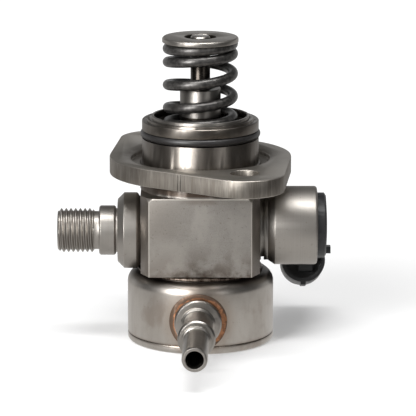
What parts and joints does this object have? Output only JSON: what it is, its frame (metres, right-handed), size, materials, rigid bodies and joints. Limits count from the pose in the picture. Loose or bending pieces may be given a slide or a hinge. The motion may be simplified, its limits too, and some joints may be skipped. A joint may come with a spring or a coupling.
{
  "type": "high pressure fuel pump",
  "caption": "High pressure fuel pump for a petrol direct injection engine: sprung plunger, mounting flange, round damper housing, inlet nipple, threaded outlet and solenoid valve.",
  "frame": {"origin": "on the pump axis, in the flange face that seats on the engine", "axes": "+Z out of the flange face along the pilot and plunger; -X along the outlet; +X along the solenoid; -Y towards the inlet nipple"},
  "size_m": [0.0869, 0.1091, 0.0977],
  "materials": {
    "body_steel": "satin, milled and turned",
    "flange_steel": "matt, stamped",
    "housing_steel": "satin, drawn",
    "can_steel": "satin, turned",
    "fitting_steel": "satin, turned",
    "sheet_steel": "satin sheet",
    "retainer_steel": "bright, turned",
    "hard_steel": "ground",
    "magnet_iron": "plain",
    "spring_steel": "dark, oiled",
    "fine_spring_steel": "bright wire",
    "braze_copper": "dull copper",
    "winding_copper": "enamelled wire",
    "terminal_tin": "tinned",
    "rubber_black": "satin",
    "seal_rubber": "satin",
    "connector_plastic": "fine matt",
    "bobbin_plastic": "plain",
    "strainer_plastic": "plain"
  },
  "bodies": {
    "housing": {"pump_body": "body_steel", "mounting_flange": "flange_steel", "pilot_o_ring": "rubber_black", "cylinder_barrel": "hard_steel", "seal_holder": "sheet_steel", "plunger_seal": "seal_rubber", "return_spring": "spring_steel", "damper_housing": "housing_steel", "damper_lid": "housing_steel", "damper_diaphragm_upper": "sheet_steel", "damper_diaphragm_lower": "sheet_steel", "damper_support_upper": "sheet_steel", "damper_support_lower": "sheet_steel", "inlet_nipple": "fitting_steel", "inlet_braze_ring": "braze_copper", "inlet_filter": "strainer_plastic", "outlet_fitting": "fitting_steel", "outlet_valve_seat": "hard_steel", "outlet_valve_spring": "fine_spring_steel", "outlet_valve_stop": "hard_steel", "valve_housing": "fitting_steel", "inlet_valve_spring": "fine_spring_steel", "inlet_valve_stop": "sheet_steel", "guide_tube": "sheet_steel", "magnet_core": "magnet_iron", "armature_spring": "fine_spring_steel", "coil_bobbin": "bobbin_plastic", "coil_winding": "winding_copper", "solenoid_can": "can_steel", "connector_housing": "connector_plastic", "terminal_left": "terminal_tin", "terminal_right": "terminal_tin"},
    "plunger_set": {"plunger": "hard_steel", "spring_retainer": "retainer_steel"},
    "armature_set": {"armature": "magnet_iron"},
    "inlet_valve": {"inlet_valve_disc": "hard_steel"},
    "outlet_valve": {"outlet_valve_ball": "hard_steel"}
  },
  "joints": [
    {"name": "plunger_slide", "type": "slide", "parent": "housing", "child": "plunger_set", "axis": [0, 0, -1], "range_m": [0, 0.0045], "stiffness_N_per_m": 33000, "springref_m": -0.004, "deforming": ["return_spring"]},
    {"name": "armature_slide", "type": "slide", "parent": "housing", "child": "armature_set", "axis": [1, 0, 0], "range_m": [0, 0.00035], "stiffness_N_per_m": 5000, "springref_m": -0.0004},
    {"name": "inlet_valve_slide", "type": "slide", "parent": "housing", "child": "inlet_valve", "axis": [1, 0, 0], "range_m": [0, 0.00035]},
    {"name": "outlet_valve_slide", "type": "slide", "parent": "housing", "child": "outlet_valve", "axis": [-1, 0, 0], "range_m": [0, 0.0004], "stiffness_N_per_m": 2000, "springref_m": -0.001}
  ],
  "couplings": [
    {"joint": "inlet_valve_slide", "follows": "armature_slide", "ratio": 1}
  ]
}
